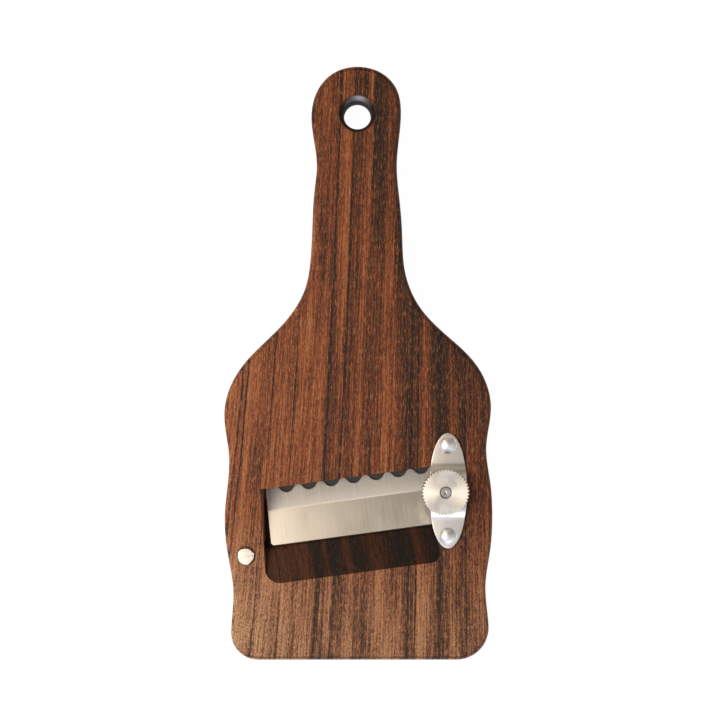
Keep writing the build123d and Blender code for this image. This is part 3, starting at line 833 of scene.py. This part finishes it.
class SLICER_OT_nut(bpy.types.Operator):
    """Make the knurled nut"""

    bl_idname = "slicer.nut"
    bl_label = "Knurled nut"

    def execute(self, context):
        s = context.scene.slicer_fittings
        low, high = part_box("adjuster_knob")
        centre = (low + high) / 2
        radius, bore, boss = (high.x - low.x) / 2, s.bore / 2, s.boss / 2
        rim = low.z + s.boss_height
        bevel, boss_edge, ease = 0.3 * MM, 0.2 * MM, 0.08 * MM
        corners = [
            (bore, low.z), (boss - boss_edge, low.z), (boss, low.z + boss_edge), (boss, rim),
            (radius - bevel, rim), (radius, rim + bevel), (radius, high.z - bevel), (radius - bevel, high.z),
            (radius - 4 * bevel, high.z), (bore + 2 * boss_edge, high.z), (bore, high.z),
        ]
        profile = eased(corners, ease, closed=True)

        def groove(angle, radii, heights):
            """Straight V grooves: the radius is never more than the rim's less the groove's depth."""
            wave = np.abs((angle * s.knurls / TURN) % 1 * 2 - 1)
            return np.minimum(radii, radius - s.knurl * wave**1.3), heights

        nut = turned("knurled_nut", profile, centre, s.knurls * 8, groove, closed=True)
        metal = turned_metal("turned_nickel_plate", s.nut_colour, 0.38, centre, 0.35 * MM, anisotropy=0.7)
        place_piece(nut, "knob", metal, "adjuster_knob")
        return {"FINISHED"}


class SLICER_OT_stud(bpy.types.Operator):
    """Make the threaded stud and the return spring round it"""

    bl_idname = "slicer.stud"
    bl_label = "Stud and spring"

    def execute(self, context):
        s = context.scene.slicer_fittings
        blade = context.scene.slicer_blade
        low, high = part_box("blade_stud")
        centre = (low + high) / 2
        major, collar = s.thread / 2, (high.x - low.x) / 2
        tangent = math.tan(blade.angle)
        under = blade.tip_height + blade.tip_from_stud * tangent
        foot = under + blade.thickness / math.cos(blade.angle)
        collar_top = foot + collar * tangent + s.collar_height
        spigot = s.spigot / 2
        chamfer, edge, thread_depth = 0.15 * MM, 0.2 * MM, 0.43 * MM
        threads = np.arange(collar_top, high.z - chamfer, s.thread_pitch / 8)
        thread_rows = np.stack([np.full_like(threads, major), threads], axis=1)
        dimple = [(0.75 * MM, high.z), (0.3 * MM, high.z - 0.35 * MM), (0, high.z - 0.45 * MM)]
        head = [(major, high.z - chamfer), (major - chamfer, high.z), *dimple]
        base = [
            (0, under), (spigot, under), (spigot, foot), (collar, foot), (collar, collar_top - edge),
            (collar - edge, collar_top),
        ]
        profile = np.concatenate([base, thread_rows, head])
        follows = np.zeros(len(profile))
        follows[: len(base) - 2] = 1.0

        def groove(angle, radii, heights):
            """A V thread round the shaft: its depth rises and falls once in each pitch of height, less a
            turn's share of the angle. The foot follows the blade's slope under it."""
            wave = np.abs((heights / s.thread_pitch - angle / TURN) % 1 * 2 - 1)
            fade = np.clip((heights - collar_top) / s.thread_pitch, 0, 1) * (radii > major * 0.99)
            fade = fade * (radii < major * 1.01) * (heights < high.z - chamfer / 2)
            radii = radii - thread_depth * wave * fade
            offset = radii * (np.cos(angle) * tilt_axis.x + np.sin(angle) * tilt_axis.y)
            return radii, heights - follows * offset * tangent

        stud = turned("threaded_stud", profile, centre, 48, groove)
        steel = turned_metal("turned_steel", s.stud_colour, 0.32, centre, 0.15 * MM, anisotropy=0.4)
        place_piece(stud, "blade_unit", steel, "blade_stud")

        # The spring's wire is carried along a helix whose coils lie closer at both ends.
        spring_low, spring_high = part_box("return_spring")
        wire = s.wire / 2
        coil = (spring_high.x - spring_low.x) / 2 - wire
        share = np.linspace(0, 1, s.coils * 48 + 1)
        rise = share - 0.4 * np.sin(TURN * share) / TURN
        angle = TURN * s.coils * share
        bottom, top = spring_low.z + wire, spring_high.z - wire
        radial = np.stack([np.cos(angle), np.sin(angle), 0 * angle], axis=1)
        path = np.array((centre.x, centre.y, 0)) + coil * radial
        path[:, 2] = bottom + (top - bottom) * rise
        ahead = np.gradient(path, axis=0)
        ahead /= np.linalg.norm(ahead, axis=1, keepdims=True)
        side = np.cross(ahead, radial)
        round_wire = np.linspace(0, TURN, 12, endpoint=False)[None, :, None]
        section = np.cos(round_wire) * radial[:, None] + np.sin(round_wire) * side[:, None]
        spring = surface("coil_spring", capped(path[:, None] + wire * section), close_rows=False)
        wire_steel = ground_metal("drawn_spring_wire", s.wire_colour, 0.34, 0.2 * MM, 0.0)
        place_piece(spring, None, wire_steel, "return_spring")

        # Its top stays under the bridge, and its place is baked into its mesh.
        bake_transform(spring)
        return {"FINISHED"}


class SLICER_OT_screw(bpy.types.Operator):
    """Make the slotted screw that holds the tang"""

    bl_idname = "slicer.screw"
    bl_label = "Tang screw"

    def execute(self, context):
        s = context.scene.slicer_fittings
        low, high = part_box("tang_screw")

        # The worn head sits a little towards the board's lower left corner.
        centre = (low + high) / 2 - Vector((0.2, 0.2, 0)) * MM
        radius, shank = (high.x - low.x) / 2, 1.5 * MM
        seat = high.z - 2.2 * MM
        slot_angle = math.radians(15.5)
        corners = [
            (0, high.z), (radius * 0.5, high.z - 0.02 * MM), (radius, high.z - 0.08 * MM), (radius, seat),
            (shank, seat), (shank, low.z + 1.5 * MM), (0, low.z),
        ]
        wear_radius = 0.35 * MM
        profile = eased(corners, wear_radius, 6)

        def groove(angle, radii, heights):
            """Worn head: its rim wanders in two waves, and burrs stand out at the slot and one more place."""
            wear = 0.030 * np.sin(3 * angle + 0.6) + 0.022 * np.sin(5 * angle + 2.0) - 0.03
            burr = 0.06 * np.exp(-(((angle - slot_angle - 0.12) / 0.13) ** 2))
            burr = burr + 0.05 * np.exp(-(((angle - 4.95) / 0.10) ** 2))
            at_head = np.clip((radii / radius - 0.6) / 0.4, 0, 1) * (heights > seat - 0.01 * MM)
            return radii * (1 + (wear + burr) * at_head), heights

        screw = turned("slotted_screw", profile, centre, 160, groove)

        # The slot is a bar across the head, turned by the slot's angle.
        reach, half, depth = 1.4 * radius, 0.40 * MM, 0.8 * MM
        ring = np.array([(-reach, -half), (-reach, half), (reach, half), (reach, -half)])
        cosine, sine = math.cos(slot_angle), math.sin(slot_angle)
        ring = ring @ np.array([[cosine, sine], [-sine, cosine]]) + np.array((centre.x, centre.y))
        levels = (high.z - depth, high.z + MM)
        walls = np.stack([np.concatenate([ring, np.full((4, 1), z)], axis=1) for z in levels])
        cut(screw, surface("slot", capped(walls), close_rows=False))
        finish = {"ring_width": 0.5 * MM, "ring_depth": 0.01 * MM}
        metal = turned_metal("worn_nickel_plate", s.screw_colour, 0.50, centre, **finish)
        place_piece(screw, "root", metal, "tang_screw")
        return {"FINISHED"}


WHITE = (1, 1, 1, 1)
MOUTH_SHADE = "1C1918"


def white_paper(blade):
    """White paper: seen directly it glows, but not where the board shuts it in, under the mouth."""
    material = bpy.data.materials.new("white_paper")
    add = node_adder(material)
    path = add("LightPath").outputs
    seen = path["Is Camera Ray"]
    for ray in ("Is Glossy Ray", "Is Transmission Ray"):
        seen = add("Math", (seen, path[ray]), operation="MAXIMUM")

    # The shade is one within half a width of the mouth's middle, and fades over a millimetre.
    stud = middle("blade_stud")
    mouth = {"Location": (stud.x, stud.y, 0), "Rotation": (0, 0, skew)}
    mouth["Vector"] = add("TexCoord").outputs["Object"]
    mouth = add("SeparateXYZ", [add("Mapping", mouth, vector_type="TEXTURE")]).outputs
    shade = 1.0
    for axis, centre, half in (
        ("X", -blade.left / 2, blade.left / 2 + 6 * MM),
        ("Y", blade.tip_from_stud - 2 * MM, 6 * MM),
    ):
        off = add("Math", [add("Math", (mouth[axis], centre), **MINUS)], operation="ABSOLUTE")
        shade = add("Math", (add("MapRange", (off, half, half + MM, 1.0, 0.0)), shade), **TIMES)
    tone = add("Mix", {0: shade, 6: WHITE, 7: hex_colour(MOUTH_SHADE)}, **COLOURS)

    # A thin dark line of shadow stays along the board's edge.
    nearby = add("AmbientOcclusion", {"Distance": 0.8 * MM}).outputs["AO"]
    glow = add("Emission", (tone, add("MapRange", (nearby, 0.45, 0.85, 0.35, 1.08))))
    paper = add("BsdfDiffuse", {"Color": (0.8, 0.8, 0.8, 1)})
    lit = add("MixShader", (add("Math", (seen, 0.90), **TIMES), paper, glow))

    # From below it is clear, so that the sole can be seen.
    below = add("NewGeometry").outputs["Backfacing"]
    add("OutputMaterial", [add("MixShader", (below, lit, add("BsdfTransparent")))])
    return material


def studio():
    """World that is white to the eye. Shiny surfaces see it brighter in front, past the board's lower
    end, than behind, and cooler in front than behind."""
    world = bpy.data.worlds.new("studio")
    add = node_adder(world)
    path = add("LightPath").outputs
    ahead = add("SeparateXYZ", [add("TexCoord").outputs["Generated"]]).outputs["Y"]
    mirrored = 0.0
    for limits in ((-0.75, 0.15, 1.05, 0.54), (0.15, 0.60, 0.0, -0.33), (0.76, 0.92, 0.0, 0.45)):
        mirrored = add("Math", (mirrored, add("MapRange", (ahead, *limits))))
    strength = add("MapRange", (path["Is Glossy Ray"], 0.0, 1.0, 0.30, mirrored))
    warm = add("MapRange", (ahead, -0.7, 0.3))
    tone = add("Mix", {0: warm, 6: hex_colour("EEF2FF"), 7: hex_colour("FFF3E2")}, **COLOURS)
    backdrop = (path["Is Camera Ray"], add("Background", (tone, strength)), add("Background", (WHITE, 1.0)))
    add("OutputWorld", [add("MixShader", backdrop)])
    return world


# Half the floor's width, and the camera's film in mm
FLOOR_HALF = 3.0
SENSOR = 36.0

# Area lamps, as (name, place, size, power in watts, colour, what it points at)
LAMPS = [
    ("key_window", (-0.28, -0.08, 0.45), (0.24, 0.24), 1.5, "FFF2E0", (0, -0.03, 0)),
    ("front_window", (0.02, -0.30, 0.52), (0.12, 0.12), 0.07, "CCDCFF", (0, -0.03, 0)),
    ("front_card", (0.10, -0.85, 0.26), (0.6, 0.20), 1.6, "E4ECFF", (0, -0.03, 0)),
    ("ivory_card", (-0.20, 0.19, 0.30), (0.12, 0.26), 0.39, "FFEBD0", (-0.02, -0.05, 0)),
]


class SLICER_OT_stage(bpy.types.Operator):
    """Lay the pale floor and set up the light and the camera"""

    bl_idname = "slicer.stage"
    bl_label = "Studio"

    def execute(self, context):
        scene = context.scene
        settings = scene.slicer_stage
        mesh = bpy.data.meshes.new("floor")
        signs = ((-1, -1), (1, -1), (1, 1), (-1, 1))
        corners = [(x * FLOOR_HALF, y * FLOOR_HALF, -settings.gap) for x, y in signs]
        mesh.from_pydata(corners, [], [(0, 1, 2, 3)])
        floor = new_object("floor", mesh)
        mesh.materials.append(white_paper(scene.slicer_blade))
        scene.world = studio()

        for name, place, size, power, colour, aim in LAMPS:
            light = bpy.data.lights.new(name, "AREA")
            light.shape = "RECTANGLE"
            light.size, light.size_y = size
            light.energy = power
            light.color = hex_colour(colour)[:3]
            lamp = new_object(name, light)
            lamp.location = place
            lamp.rotation_euler = (Vector(aim) - Vector(place)).to_track_quat("-Z", "Y").to_euler()

        view = bpy.data.cameras.new("camera")
        view.sensor_width = SENSOR
        view.lens = SENSOR * settings.distance / settings.field
        view.clip_start = 10 * MM
        camera = new_object("camera", view)
        camera.location = (settings.across, settings.along, face_level + settings.distance)
        scene.camera = camera
        scene.view_settings.view_transform = "Standard"
        return {"FINISHED"}


class SLICER_PT_panel(bpy.types.Panel):
    """Settings and pieces of the slicer"""

    bl_label = "Truffle slicer"
    bl_idname = "SLICER_PT_panel"
    bl_space_type = "VIEW_3D"
    bl_region_type = "UI"
    bl_category = "Slicer"

    def draw(self, context):
        for group in PROPERTY_GROUPS:
            settings = getattr(context.scene, group)
            box = self.layout.box()
            for name in settings.__annotations__:
                box.prop(settings, name)
        for operator in OPERATORS:
            self.layout.operator(operator.bl_idname)


PROPERTY_GROUPS = {
    "slicer_wood": WoodSettings,
    "slicer_blade": BladeSettings,
    "slicer_fittings": FittingSettings,
    "slicer_stage": StageSettings,
}
OPERATORS = [
    SLICER_OT_board, SLICER_OT_blade, SLICER_OT_bridge, SLICER_OT_nut, SLICER_OT_stud, SLICER_OT_screw,
    SLICER_OT_stage,
]


def register():
    """Register the settings, the operators and the panel."""
    for name, group in PROPERTY_GROUPS.items():
        bpy.utils.register_class(group)
        setattr(bpy.types.Scene, name, PointerProperty(type=group))
    for cls in [*OPERATORS, SLICER_PT_panel]:
        bpy.utils.register_class(cls)


def unregister():
    """Take them away again, in the other order."""
    for cls in [SLICER_PT_panel, *reversed(OPERATORS)]:
        bpy.utils.unregister_class(cls)
    for name, group in reversed(PROPERTY_GROUPS.items()):
        delattr(bpy.types.Scene, name)
        bpy.utils.unregister_class(group)


def main():
    """Register the add-on and run its operators in order."""
    register()
    bpy.ops.slicer.board()
    bpy.ops.slicer.blade()
    bpy.ops.slicer.bridge()
    bpy.ops.slicer.nut()
    bpy.ops.slicer.stud()
    bpy.ops.slicer.screw()
    bpy.ops.slicer.stage()


if __name__ == "__main__":
    main()
